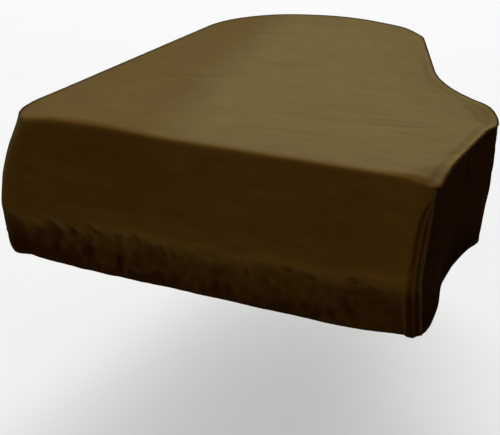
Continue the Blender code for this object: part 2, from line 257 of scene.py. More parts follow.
SKIRT_CREASES = (
    Crease(0.030, 0.100, 0.036, 0.420, 0.012, -0.0034, 0.003),
    Crease(0.080, 0.200, 0.094, 0.420, 0.016, -0.0034, 0.004),
    Crease(0.110, 0.060, 0.180, 0.300, 0.014, 0.0028, 0.010),
    Crease(0.300, 0.030, 0.380, 0.240, 0.016, -0.0026, 0.010),
    Crease(0.560, 0.010, 0.640, 0.220, 0.014, -0.0060, 0.010),
    Crease(0.620, 0.010, 0.660, 0.200, 0.013, 0.0050, 0.006),
    Crease(0.700, 0.012, 0.690, 0.260, 0.014, -0.0050, 0.006),
    Crease(0.900, 0.020, 0.960, 0.300, 0.018, 0.0040, 0.010),
    Crease(1.120, 0.020, 1.080, 0.320, 0.018, -0.0040, 0.012),
    Crease(1.380, 0.030, 1.420, 0.300, 0.018, 0.0036, 0.010),
    Crease(1.820, 0.015, 1.780, 0.280, 0.016, -0.0046, 0.008),
    Crease(1.900, 0.015, 1.950, 0.260, 0.016, 0.0042, 0.008),
    Crease(2.300, 0.020, 2.250, 0.280, 0.018, -0.0036, 0.010),
    Crease(2.560, 0.015, 2.620, 0.270, 0.016, 0.0040, 0.010),
    Crease(2.760, 0.015, 2.700, 0.300, 0.018, -0.0044, 0.010),
    Crease(3.100, 0.020, 3.170, 0.280, 0.020, 0.0032, 0.012),
    Crease(3.480, 0.020, 3.400, 0.260, 0.018, -0.0030, 0.010),
    Crease(3.760, 0.030, 3.820, 0.290, 0.018, 0.0032, 0.010),
    Crease(4.120, 0.050, 4.050, 0.300, 0.016, -0.0034, 0.010),
    Crease(4.240, 0.080, 4.230, 0.380, 0.012, 0.0040, 0.004),
    Crease(4.275, 0.080, 4.272, 0.390, 0.009, -0.0045, 0.003),
)

# Rows of the turned hem: height above the fold's foot, and how far out of the cloth's middle it lies
HemRow = namedtuple("HemRow", "height out")
HEM_ROWS = (
    HemRow(HEM, -0.0013),
    HemRow(0.008, -0.0013),
    HemRow(0.001, -0.0011),
    HemRow(0.000, -0.0005),
    HemRow(0.001, 0.0),
)
# Heights of the first rows of the outside, round the hem's line of stitches
HEM_FRONT_ROWS = (0.004, 0.0075, 0.0105, 0.0130, 0.0155, 0.0190, 0.0240)
HEM_TROUGH = 0.0010
HEM_STITCH_HEIGHT = 0.0130

# Colours at their deepest and lightest, and how they change where the cloth is faded and lit, soiled and
# shaded, and worn and lit. The lightening on the top and on the ridges is partly painted light, and the
# darkening in the hollows and on the lower band is partly painted shade. The skirt's colours are the
# cloth's own darkened by painted shade.
COVER_DEEP = (0.0315, 0.0134, 0.0016, 1.0)
COVER_LIGHT = (0.0480, 0.0231, 0.0038, 1.0)
# Painted shade: the skirt's colours are the cloth's own, darkened for the side that stands in shadow
SKIRT_SHADED_DEEP = (0.0080, 0.0026, 0.0006, 1.0)
SKIRT_SHADED_LIGHT = (0.0140, 0.0050, 0.0011, 1.0)
DEEP_FADED_AND_LIT = (2.20, 3.50, 10.6)
LIGHT_FADED_AND_LIT = (1.92, 2.84, 7.2)
SOILED_AND_SHADED = (0.33, 0.20, 0.22)
BETWEEN_RIBS = (0.3, 0.3, 0.3)
FRAYED_AND_LIT = (1.7, 1.7, 2.0)
PIPING_DEEP = (0.018, 0.0085, 0.0018, 1.0)
PIPING_LIGHT = (0.036, 0.019, 0.005, 1.0)
PIPING_RIB = (0.010, 0.006, 0.002, 1.0)
THREAD_DEEP = (0.045, 0.026, 0.008, 1.0)
THREAD_LIGHT = (0.090, 0.058, 0.022, 1.0)
FLOOR_DEEP = (0.205, 0.205, 0.203, 1.0)
FLOOR_LIGHT = (0.22, 0.22, 0.218, 1.0)

# How much a place of the cloth is worn and lit, soiled and shaded, and faded and lit, from 0 to 1 each.
# Besides real wear, soiling and fading, these marks hold painted highlights, painted shade and painted
# light.
Marks = namedtuple("Marks", "worn soiled faded")

# How the apron is darkened above its hem, along most of it and at its right end: partly soiling, partly
# painted shade on the lower band that turns under
Soil = namedtuple("Soil", "to_hem most right_end")
BAND_SOIL_AND_SHADE = (
    Soil(0.000, 1.10, 0.97),
    Soil(0.022, 0.99, 0.88),
    Soil(0.036, 0.90, 0.86),
    Soil(0.051, 0.78, 0.86),
    Soil(0.080, 0.69, 0.84),
    Soil(0.110, 0.58, 0.82),
    Soil(0.135, 0.43, 0.72),
    Soil(0.153, 0.25, 0.46),
    Soil(0.172, 0.06, 0.15),
    Soil(0.190, 0.00, 0.00),
)
# The cloth is lighter where the apron turns under, this far above the hem: partly rubbed, partly a painted
# highlight where the bulge catches the light
RUBBED_AND_LIT_AT = 0.196
RUBBED_AND_LIT_WIDTH = 0.034

# The top is lightened less to the left of a slanting line, which paints shade on its left part: how far the
# line leans, its place and its width
FADE_AND_LIGHT_LEAN = 0.235
FADE_AND_LIGHT_PLACE = -0.02
FADE_AND_LIGHT_WIDTH = 0.26
LEAST_FADED_AND_LIT = 0.55
# The fading and painted light grow back from the front fold, from this height on the flat pattern and over
# this length. They start higher on the left and at the right front corner, and are weaker at that corner
# and near the edges, which paints shade there.
FADE_AND_LIGHT_START = -0.002
FADE_AND_LIGHT_GROWTH = 0.050
FADE_AND_LIGHT_LEFT_START = 0.010
FADE_AND_LIGHT_CORNER_START = 0.030
FADE_AND_LIGHT_CORNER_X = 0.76
FADE_AND_LIGHT_CORNER_REACH = 0.22
FADE_AND_LIGHT_CORNER_LOSS = 0.22
FADE_AND_LIGHT_EDGE_REACH = 0.30
FADE_AND_LIGHT_EDGE_LOSS = 0.14
# The top's sewn edge is lighter on the right, a painted highlight on the seam's ridge, with a painted dark
# line of shade inside it, and darker elsewhere, a painted shaded outline
LIGHTENED_EDGE = 0.024
DARKENED_EDGE = 0.018
DARK_LINE_AT = 0.034
# Creases this high count fully as ridges or hollows, on the top and on the walls, for painted highlights on
# the ridges and painted shade in the hollows
TOP_RIDGE = 0.003
WALL_RIDGE = 0.006

# Fineness of the sheets: the smallest and largest step, and how far the small steps reach in from the ends
Steps = namedtuple("Steps", "small large reach")
ACROSS_STEPS = Steps(0.0038, 0.0095, 0.10)
TOP_STEPS = Steps(0.0038, 0.0130, 0.09)
ALONG_STEPS = Steps(0.0040, 0.0080, 0.10)
APRON_ROWS = 56
ROLL_ROWS = 6
SKIRT_ROWS = 46
STITCH_PITCH = 0.006
STITCH_SIZE = (0.0038, 0.0007, 0.0006)
EDGE_STEP = 0.004
PIPING_STEP = 0.006
RIGHT_SEAM_STEPS = 64
LEFT_SEAM_STEPS = 58


def smoothly(rows, at, value, wanted):
    """The wanted column where column `at` has this value, on a smooth curve through the rows."""
    spots = [getattr(row, at) for row in rows]
    heights = [getattr(row, wanted) for row in rows]
    if value <= spots[0]:
        return heights[0]
    if value >= spots[-1]:
        return heights[-1]
    i = next(n for n in range(len(spots) - 1) if value <= spots[n + 1])

    def slope(n):
        low, high = max(n - 1, 0), min(n + 1, len(spots) - 1)
        return (heights[high] - heights[low]) / (spots[high] - spots[low])

    span = spots[i + 1] - spots[i]
    t = (value - spots[i]) / span
    return (
        heights[i] * (2 * t**3 - 3 * t**2 + 1)
        + slope(i) * span * (t**3 - 2 * t**2 + t)
        + heights[i + 1] * (3 * t**2 - 2 * t**3)
        + slope(i + 1) * span * (t**3 - t**2)
    )


def ease(share):
    """0 below 0, 1 above 1, and a smooth rise between."""
    share = min(max(share, 0.0), 1.0)
    return share * share * (3 - 2 * share)


def bump(offset):
    """1 at 0, falling smoothly to 0 at -1 and 1."""
    return 0.5 + 0.5 * math.cos(math.pi * offset) if abs(offset) < 1 else 0.0


def turned(vector, angle):
    c, s = math.cos(angle), math.sin(angle)
    return Vector((vector.x * c - vector.y * s, vector.x * s + vector.y * c))


@lru_cache(maxsize=None)
def level_at(depth, column):
    return smoothly(LEVELS, "depth", depth, column)


def corner_point(index, depth):
    """Where the two straight edges at a corner would meet, this far below the top."""
    corner = CORNERS[index % len(CORNERS)]
    if corner.y > 0:
        return Vector((corner.x, corner.y))
    return Vector((corner.x, -level_at(depth, "forward_right" if corner.x > 0 else "forward_left")))


@lru_cache(maxsize=200000)
def corner_arc(index, depth):
    """Start, centre, first direction and turn of a corner's arc, this far below the top."""
    corner = CORNERS[index % len(CORNERS)]
    before, here, after = (corner_point(index + n, depth) for n in (-1, 0, 1))
    way_in, way_out = (here - before).normalized(), (after - here).normalized()
    turn = math.atan2(way_in.cross(way_out), way_in.dot(way_out))
    radius = corner.radius + (corner.low_radius - corner.radius) * ease(depth / LOW_AT)
    near_hem = ease((depth - NEAR_HEM_FROM) / (NEAR_HEM_AT - NEAR_HEM_FROM))
    radius += (corner.hem_radius - corner.low_radius) * near_hem
    start = here - way_in * radius * math.tan(abs(turn) / 2)
    centre = start + turned(way_in, math.copysign(math.pi / 2, turn)) * radius
    return start, centre, way_in, turn


def on_arc(index, share, depth):
    start, centre, way_in, turn = corner_arc(index, depth)
    return centre + turned(start - centre, turn * share), turned(way_in, turn * share)


def plan_at(station, depth):
    """Point and direction on the cover's outline, seen from above. A station's even whole numbers begin
    the corners' arcs, and its odd ones the straight edges that follow them."""
    station %= FULL_ROUND
    part, share = int(station), station - int(station)
    corner = part // 2
    if part % 2 == 0:
        return on_arc(corner, share, depth)
    begin, way = on_arc(corner, 1.0, depth)
    end = on_arc((corner + 1) % len(CORNERS), 0.0, depth)[0]
    return begin.lerp(end, share), way


def graded(length, steps):
    """Shares of a length, close together at its ends and wider apart in its middle."""
    places = [0.0]
    while places[-1] < length:
        inside = max(min(places[-1], length - places[-1]), 0.0)
        places.append(places[-1] + steps.small + (steps.large - steps.small) * ease(inside / steps.reach))
    return [place / places[-1] for place in places]


class Route:
    """A stretch of the outline at the top's level, measured along its length."""

    STEPS_PER_PART = 40

    def __init__(self, first, last):
        steps = math.ceil(abs(last - first) * self.STEPS_PER_PART)
        self.stations = [first + (last - first) * n / steps for n in range(steps + 1)]
        self.distances = [0.0]
        for before, here in zip(self.stations, self.stations[1:]):
            step = (plan_at(here, 0)[0] - plan_at(before, 0)[0]).length
            self.distances.append(self.distances[-1] + step)
        self.length = self.distances[-1]

    def station(self, distance):
        """The station this far from the start."""
        low, high = 0, len(self.distances) - 1
        while high - low > 1:
            middle = (low + high) // 2
            if self.distances[middle] <= distance:
                low = middle
            else:
                high = middle
        span = self.distances[high] - self.distances[low]
        share = min(max((distance - self.distances[low]) / span, 0.0), 1.0)
        return self.stations[low] + (self.stations[high] - self.stations[low]) * share


SKIRT_ROUTE = Route(RIGHT_SEAM, LEFT_SEAM)
FRONT_ROUTE = Route(LEFT_SEAM, FULL_ROUND + RIGHT_SEAM)
LEFT_ROUTE = Route(LEFT_SEAM, TAIL_LEFT)
TAIL_ROUTE = Route(TAIL_LEFT, TAIL_RIGHT)
RIGHT_ROUTE = Route(RIGHT_SEAM, TAIL_RIGHT)
TOP_SHARES = graded(LENGTH, TOP_STEPS)


def outward(way):
    return Vector((way.y, -way.x))


def from_corner_on_skirt(distance):
    return min(distance, SKIRT_ROUTE.length - distance)


@lru_cache(maxsize=None)
def skirt_drop(distance):
    side = "right" if distance < SKIRT_ROUTE.length / 2 else "left"
    return smoothly(DROPS, "along", from_corner_on_skirt(distance), side)


@lru_cache(maxsize=None)
def apron_drop(distance):
    place = plan_at(FRONT_ROUTE.station(distance), 0)[0].x
    return smoothly(DROPS, "along", abs(place) - HALF_WIDTH, "right" if place > 0 else "left")


def folded_out(folds, place, depth):
    """How far the folds push the cloth out at this place."""
    total = 0.0
    for fold in folds:
        if abs(place - fold.place) < fold.half_width + abs(fold.wander) and depth > fold.begins:
            grown = ease((depth - fold.begins) / FULL_FOLD_DEPTH)
            middle = fold.place + fold.wander * grown
            total += fold.height * grown * bump((place - middle) / fold.half_width)
    return total


def creased(creases, u, v):
    """How far the creases push the cloth out at a place on its flat pattern."""
    total = 0.0
    for c in creases:
        du, dv = c.u1 - c.u0, c.v1 - c.v0
        length = math.hypot(du, dv)
        along = ((u - c.u0) * du + (v - c.v0) * dv) / (length * length)
        if -0.15 < along < 1.15:
            aside = ((u - c.u0) * dv - (v - c.v0) * du) / length - c.bow * 4 * along * (1 - along)
            end = ease((along + 0.15) / 0.4) * ease((1.15 - along) / 0.4)
            total += c.height * end * bump(aside / c.half_width)
    return total


def ruffle(u, v, across_u, across_v, seed):
    """Smooth unevenness between about -1 and 1, with lumps of these sizes."""
    return noise.noise(Vector((u / across_u, v / across_v, seed)))


def sharp_ruffle(u, v, across_u, across_v, seed):
    """Unevenness with narrow ridges between soft hollows, from about -0.5 to 0.5."""
    return 0.5 - 2 * abs(ruffle(u, v, across_u, across_v, seed))


def sunk(point):
    """The point, lowered where the top panel dips."""
    low = 0.0
    for dip in DIPS:
        near = bump(math.hypot(point.x - dip.x, point.y - dip.y) / dip.reach)
        low += dip.depth * near * ease(1 + point.z / dip.foot)
    return Vector((point.x, point.y, point.z - low))


def placed(point):
    """A point of the tables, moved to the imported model's origin."""
    point = sunk(point)
    return Vector((point.x, point.y - LENGTH / 2, point.z))


def tuck_waver(place):
    """How far the line where the apron's lower band begins to turn back wavers downward."""
    return TUCK_WAVER * ruffle(place, 0.0, 0.11, 1.0, 3.7) * ease((BAND_END - place) / 0.12)


def tucked_under(place, depth):
    """How far the apron's lower band turns back between its two ends."""
    start = TUCK_DEPTH + TUCK_WAVER * 0.5 + tuck_waver(place)
    lowered = min(max((depth - start) / TUCK_HEIGHT, 0.0), 1.0)
    left, right = (place - TUCK_LEFT[0]) / TUCK_LEFT[1], (TUCK_RIGHT[0] - place) / TUCK_RIGHT[1]
    return TUCK_BACK * (1 - (1 - lowered) ** 2) * ease(min(left, right))


def corner_pleats(beside, depth):
    """The deep crease beside the right front seam, with its ridges. Beside is how far the seam is."""
    line = smoothly(PLEAT_LINE, "depth", depth, "beside")
    wander = 0.002 * ruffle(depth, 0.0, 0.07, 1.0, 9.9)
    out = sum(p.height * bump((line + wander - p.toward_seam - beside) / p.half_width) for p in PLEATS)
    out -= 0.004 * ease((line - beside) / 0.008)
    return out * ease(beside / 0.008) * ease((depth - 0.012) / 0.07)


def apron_unevenness(place, depth):
    """Puckers of the lower band and faint drag lines above it."""
    band = ease((depth - 0.28) / 0.04) * ease((BAND_END - abs(place)) / 0.06)
    lively = 0.7 + 0.6 * bump((place + 0.32) / 0.32)
    puckers = 0.0038 * lively * sharp_ruffle(place, depth, 0.042, 0.055, 11.3)
    puckers += 0.0028 * lively * ruffle(place, depth, 0.024, 0.036, 5.1)
    drags = 0.0011 * ruffle(place, depth, 0.300, 0.035, 8.4)
    drags += 0.0005 * ruffle(place, depth, 0.10, 0.018, 2.2)
    return puckers * band + drags * ease(depth / 0.05)


def skirt_unevenness(distance, depth):
    """Gathers hanging from the seam, which die away down the skirt."""
    gathers = 0.0016 * ruffle(distance, depth, 0.026, 0.20, 6.6) * ease(depth / 0.02)
    lower = 0.0020 * ruffle(distance, depth, 0.070, 0.22, 9.2) * ease(depth / 0.10)
    drags = 0.0008 * ruffle(distance, depth, 0.22, 0.04, 4.3) * ease(depth / 0.05)
    return gathers * ease((0.16 - depth) / 0.14) + lower + drags


def top_unevenness(x, y):
    """Faint streaks across the top, a little aslant, as cloth shows that was folded away."""
    across = y - 0.10 * x
    here = 0.25 + 0.75 * ease(0.5 + 1.6 * ruffle(x, y, 0.45, 0.35, 6.1))
    streaks = 0.00045 * sharp_ruffle(x, across, 0.26, 0.060, 1.5)
    streaks += 0.0002 * ruffle(x, across, 0.13, 0.022, 7.9)
    return streaks * here + 0.0014 * ruffle(x, y, 0.40, 0.30, 2.8)


def hem_relief(height):
    """The double hem stands out a little, and its line of stitches sinks in. Height is from the hem."""
    trough = HEM_TROUGH * bump((height - HEM_STITCH_HEIGHT) / 0.0045)
    return 0.0006 * ease((HEM + 0.004 - height) / 0.004) - trough


def calmer_at_hem(to_hem):
    """The share of its unevenness that the cloth keeps this far above the stiffer double hem."""
    return 0.4 + 0.6 * ease(to_hem / 0.05)


def apron_surface(distance, depth):
    """Point on the hanging apron, this far from the left seam, and the way along it."""
    spot, way = plan_at(FRONT_ROUTE.station(distance), depth)
    beside = FRONT_ROUTE.length - distance
    to_hem = apron_drop(distance) - depth
    out = folded_out(APRON_FOLDS, spot.x, depth) * (0.25 + 0.75 * ease(to_hem / 0.13))
    out -= tucked_under(spot.x, depth)
    rough = creased(APRON_CREASES, spot.x, depth) + apron_unevenness(spot.x, depth) * calmer_at_hem(to_hem)
    pleats = corner_pleats(beside, depth) * calmer_at_hem(to_hem)
    out += rough * ease(min(distance, beside - 0.03) / 0.02) + pleats + hem_relief(to_hem)
    return spot + outward(way) * out, way


def skirt_surface(distance, depth):
    """Point on the hanging skirt, this far from the right seam, and the way along it."""
    spot, way = plan_at(SKIRT_ROUTE.station(distance), depth)
    near = from_corner_on_skirt(distance)
    to_hem = skirt_drop(distance) - depth
    out = folded_out(SKIRT_FOLDS, distance, depth) * ease(near / FLAT_AT_SEAM)
    out -= level_at(depth, "drawn_in") * ease(near / HELD_OUT)
    rough = creased(SKIRT_CREASES, distance, depth) + skirt_unevenness(distance, depth)
    out += rough * ease(near / SEWN_REACH)
    return spot + outward(way) * (out + hem_relief(to_hem)), way


def roll_at(station):
    """Radius of the fold from the top panel to the apron: full along the front, small at the seams."""
    if FULL_ROUND - 1 <= station <= FULL_ROUND:
        return FRONT_ROLL
    arc_share = min(abs(station - FULL_ROUND), abs(station - (FULL_ROUND - 1)))
    return FRONT_ROLL + (SEAM_ROLL - FRONT_ROLL) * min(arc_share / SEAM_SHARE, 1.0)


def front_line(share):
    """Front edge of the flat top, where its fold to the apron begins."""
    station = FRONT_ROUTE.station(share * FRONT_ROUTE.length)
    spot, way = plan_at(station, 0)
    shift = sewn_shift(share * FRONT_ROUTE.length, FRONT_ROUTE.length)
    return spot - outward(way) * roll_at(station) + way * shift


def side_line(route, share):
    """Edge of the flat top beside the piping."""
    station = route.station(share * route.length)
    spot, way = plan_at(station, 0)
    start = SKIRT_ROUTE.length if route is LEFT_ROUTE else 0.0
    if route is TAIL_ROUTE:
        near = HELD_OUT
    else:
        near = from_corner_on_skirt(abs(start - share * route.length))
    return spot - outward(way) * (SEWN_EDGE + LEVELS[0].drawn_in * ease(near / HELD_OUT))


def edge_finder():
    """A tree of the top's sewn edge, to measure from."""
    steps = round(SKIRT_ROUTE.length / EDGE_STEP)
    tree = kdtree.KDTree(steps + 1)
    for n in range(steps + 1):
        spot = plan_at(SKIRT_ROUTE.station(SKIRT_ROUTE.length * n / steps), 0)[0]
        tree.insert((spot.x, spot.y, 0), n)
    tree.balance()
    return tree


TOP_EDGE = edge_finder()


def seam_relief(spot):
    """The turned allowance inside the sewn edge, and the gathers beside it."""
    _, number, away = TOP_EDGE.find((spot.x, spot.y, 0))
    along = number * EDGE_STEP
    ridge = 0.0014 * bump((away - ALLOWANCE * 0.55) / (ALLOWANCE * 0.7))
    gathers = 0.0013 * ruffle(along, away, 0.022, 0.08, 1.9)
    gathers *= ease((0.07 - away) / 0.06) * ease(away / 0.006)
    return ridge * (1 + 0.6 * ruffle(along, 0, 0.05, 1, 4.9)) + gathers


def top_surface(across, back):
    """Point on the flat top: a patch stretched between its front, side and tail edges."""
    front, tail = front_line(across), side_line(TAIL_ROUTE, across)
    left, right = side_line(LEFT_ROUTE, back), side_line(RIGHT_ROUTE, back)
    corners = (
        front_line(0) * (1 - across) * (1 - back)
        + front_line(1) * across * (1 - back)
        + side_line(TAIL_ROUTE, 0) * (1 - across) * back
        + side_line(TAIL_ROUTE, 1) * across * back
    )
    spot = front * (1 - back) + tail * back + left * (1 - across) + right * across - corners
    calm = ease(min(across, 1 - across, 1 - back) / 0.02) * ease(back / 0.03)
    up = (creased(TOP_CREASES, spot.x, spot.y) + top_unevenness(spot.x, spot.y)) * calm
    return Vector((spot.x, spot.y, MIDDLE_OF_CLOTH + up + seam_relief(spot) * ease(back / 0.03)))


def hanging(surface, place, depth, out):
    """A point of a hanging cloth, this far out of the cloth's middle."""
    spot, way = surface(place, depth)
    spot = spot + outward(way) * out
    return Vector((spot.x, spot.y, -depth))


def wall_column(surface, distance, drop, first, rows, shift):
    """Points of a hanging cloth from the hem's inside, down, and up the outside to the first depth, each
    with its height on the flat pattern."""
    column = []
    for row in HEM_ROWS:
        inner = row.height if row.out == 0 else -row.height
        column.append((hanging(surface, distance, drop - row.height, row.out) + shift, inner - drop))
    depths = [drop - height for height in HEM_FRONT_ROWS]
    depths += [depths[-1] + (first - depths[-1]) * n / rows for n in range(1, rows + 1)]
    return column + [(hanging(surface, distance, depth, 0.0) + shift, -depth) for depth in depths]


def sewn_shift(distance, length):
    """How far the first and last columns of a cloth move along it, to stand beside the piping."""
    return SEWN_EDGE * (ease(1 - distance / SEWN_REACH) - ease(1 - (length - distance) / SEWN_REACH))


def cover_column(share):
    """Points of the top and front cloth, up the apron and back over the top to the tail."""
    distance = share * FRONT_ROUTE.length
    station = FRONT_ROUTE.station(distance)
    way = plan_at(station, 0)[1]
    roll = roll_at(station)
    shift = Vector((way.x, way.y, 0)) * sewn_shift(distance, FRONT_ROUTE.length)
    first = roll - MIDDLE_OF_CLOTH
    column = wall_column(apron_surface, distance, apron_drop(distance), first, APRON_ROWS, shift)
    for n in range(1, ROLL_ROWS):
        angle = math.pi / 2 * (1 - n / ROLL_ROWS)
        fallen = roll * (1 - math.cos(angle))
        spot, near = plan_at(station, max(fallen - MIDDLE_OF_CLOTH, 0))
        spot = spot - outward(near) * roll * (1 - math.sin(angle))
        height = roll * (math.pi / 2 - angle) - first
        column.append((Vector((spot.x, spot.y, MIDDLE_OF_CLOTH - fallen)) + shift, height))
    for back in TOP_SHARES:
        point = top_surface(share, back)
        column.append((point, point.y - roll * (2 - math.pi / 2) + MIDDLE_OF_CLOTH))
    return column


def skirt_column(share):
    """Points of the skirt from the hem's inside, down and up to the seam."""
    distance = share * SKIRT_ROUTE.length
    way = plan_at(SKIRT_ROUTE.station(distance), 0)[1]
    shift = Vector((way.x, way.y, 0)) * sewn_shift(distance, SKIRT_ROUTE.length)
    return wall_column(skirt_surface, distance, skirt_drop(distance), SKIRT_TOP_DEPTH, SKIRT_ROWS, shift)


def piece_from(name, bm, finish):
    """A piece with the bmesh's shape and this finish."""
    mesh = bpy.data.meshes.new(name)
    bm.to_mesh(mesh)
    bm.free()
    mesh.shade_smooth()
    mesh.materials.append(finish)
    piece = bpy.data.objects.new(name, mesh)
    bpy.context.scene.collection.objects.link(piece)
    return piece


def sheet_of_cloth(name, shares, column_at, length, marks_at, finish):
    """A grid laid on the columns' points, with its flat pattern in metres and its marks, made as thick as
    the cloth."""
    made = [column_at(share) for share in shares]
    columns, rows = len(made) - 1, len(made[0]) - 1
    bm = bmesh.new()
    bmesh.ops.create_grid(bm, x_segments=columns, y_segments=rows, size=1.0)
    flat = bm.loops.layers.uv.new("flat_pattern")
    marks = [bm.verts.layers.float.new(layer) for layer in Marks._fields]
    pattern = {}
    for vert in bm.verts:
        column, row = round((vert.co.x + 1) / 2 * columns), round((vert.co.y + 1) / 2 * rows)
        point, height = made[column][row]
        pattern[vert] = (shares[column] * length, height)
        for layer, value in zip(marks, marks_at(*pattern[vert], point)):
            vert[layer] = value
        vert.co = placed(point)
    for face in bm.faces:
        for loop in face.loops:
            loop[flat].uv = pattern[loop.vert]
    bmesh.ops.recalc_face_normals(bm, faces=bm.faces)
    piece = piece_from(name, bm, finish)
    thick = piece.modifiers.new("cloth thickness", "SOLIDIFY")
    thick.thickness = CLOTH
    thick.offset = 0.0
    return piece


def top_fade_and_light(height, point):
    """The top's lightening, partly sun-fading and partly painted light for the strongly lit top. It ends at
    the front fold and is weaker on the left and at the right front corner, which paints shade there. Height
    is from the fold on the flat pattern."""
    across = point.x + FADE_AND_LIGHT_LEAN * point.y + 0.04 * ruffle(point.x, point.y, 0.25, 0.25, 3.1)
    less = ease((FADE_AND_LIGHT_PLACE - across) / FADE_AND_LIGHT_WIDTH)
    at_corner = bump(math.hypot(point.x - FADE_AND_LIGHT_CORNER_X, point.y) / FADE_AND_LIGHT_CORNER_REACH)
    start = FADE_AND_LIGHT_LEFT_START * ease((-0.20 - point.x) / 0.25) + FADE_AND_LIGHT_CORNER_START * at_corner + FADE_AND_LIGHT_START
    grown = ease((height - start) / FADE_AND_LIGHT_GROWTH)
    return grown * (1 - (1 - LEAST_FADED_AND_LIT) * less) * (1 - FADE_AND_LIGHT_CORNER_LOSS * at_corner)


def ridged(rough, full):
    """How much a place is a ridge, and how much a hollow."""
    return min(max(rough / full, 0), 1), min(max(-rough / full, 0), 1)


def marks_on_top(height, point):
    """Marks of the top: it is sun-faded and lit with painted light, less near its edges, which paints shade
    on the roll. Along the sewn edge it has a painted highlight on the right, with a painted dark line
    inside, and a painted shaded outline elsewhere. Its creases get painted highlights on their ridges and
    painted shade in their hollows."""
    away = TOP_EDGE.find((point.x, point.y, 0))[2]
    faded = top_fade_and_light(height, point) * (1 - FADE_AND_LIGHT_EDGE_LOSS * bump(min(away, height) / FADE_AND_LIGHT_EDGE_REACH))
    ridge, hollow = ridged(creased(TOP_CREASES, point.x, point.y), TOP_RIDGE)
    # Painted highlight on the right edge and on crease ridges; painted shade in crease hollows, along the
    # edge elsewhere and as a dark line inside the right edge
    lightened = ease((point.x - 0.20) / 0.15)
    soiled = 0.16 * hollow + 0.38 * bump(away / DARKENED_EDGE) * (1 - lightened)
    soiled += 0.22 * bump((away - DARK_LINE_AT) / DARKENED_EDGE) * lightened
    return Marks(bump(away / LIGHTENED_EDGE) * 0.4 * lightened + 0.06 * ridge, soiled, faded)


def band_soil_and_shade(place, above):
    """Darkening of the apron's turned-under band, by the height above the hem: partly soiling, partly
    painted shade.
    """
    at_right = ease((place - 0.35) / 0.20)
    most, right_end = (smoothly(BAND_SOIL_AND_SHADE, "to_hem", above, wanted) for wanted in ("most", "right_end"))
    return most * (1 - at_right) + right_end * at_right


def marks_on_cover(along, height, point):
    """Marks of the top and front cloth. The apron is worn at its hem, and lighter on its ridges and where
    it turns under, partly rubbed and partly painted highlight. Below that it is darker, partly soiled and
    partly painted shade, and it has painted shade in its hollows, beside the right front seam and faintly
    on the left."""
    if height > 0:
        return marks_on_top(height, point)
    depth, beside = -height, FRONT_ROUTE.length - along
    to_hem = apron_drop(along) - depth
    pleats = corner_pleats(beside, depth)
    rough = pleats + creased(APRON_CREASES, point.x, depth) + apron_unevenness(point.x, depth)
    ridge, hollow = ridged(rough, WALL_RIDGE)
    strip = ease((smoothly(PLEAT_LINE, "depth", depth, "beside") - beside) / 0.008)
    above = to_hem + tuck_waver(point.x)
    handled_and_shaded = band_soil_and_shade(point.x, above)
    # Painted shade beside the right front seam, on the left of the apron and in the hollows, with soiling
    # on the lower band; painted highlights on the ridges
    soiled = max(handled_and_shaded, 0.30 * strip) + 0.16 * ease((-0.30 - point.x) / 0.15) * min(handled_and_shaded / 0.6, 1)
    soiled += (0.10 + 0.14 * bump((depth - 0.06) / 0.07)) * ease((0.05 - point.x) / 0.35)
    soiled += 0.50 * hollow - 0.45 * ridge
    # Painted highlight where the apron turns under and on the ridges, with wear at the hem
    lightened = 0.8 * bump((above - RUBBED_AND_LIT_AT) / RUBBED_AND_LIT_WIDTH) * ease((point.x + 0.45) / 0.15) * (1 - strip)
    worn = bump(to_hem / 0.010) * 0.3 + 0.15 * ridge + lightened
    return Marks(worn, max(soiled, 0.0), top_fade_and_light(height, point))


def marks_on_skirt(along, height, _point):
    """Wear along the seam and at the hem, painted highlights on the ridges, soiling toward the hem and
    painted shade in the hollows.
    """
    depth = -height
    to_hem = skirt_drop(along) - depth
    rough = creased(SKIRT_CREASES, along, depth) + 0.6 * folded_out(SKIRT_FOLDS, along, depth)
    ridge, hollow = ridged(rough + skirt_unevenness(along, depth), WALL_RIDGE)
    worn = max(bump(depth / 0.014), bump(to_hem / 0.010))
    # Painted shade in the hollows and painted highlights on the ridges, beside soiling toward the hem and
    # wear
    soiled = 0.6 * ease((0.12 - to_hem) / 0.10) + 0.5 * hollow
    return Marks(worn * 0.5 + 0.30 * ridge, soiled, 0.0)


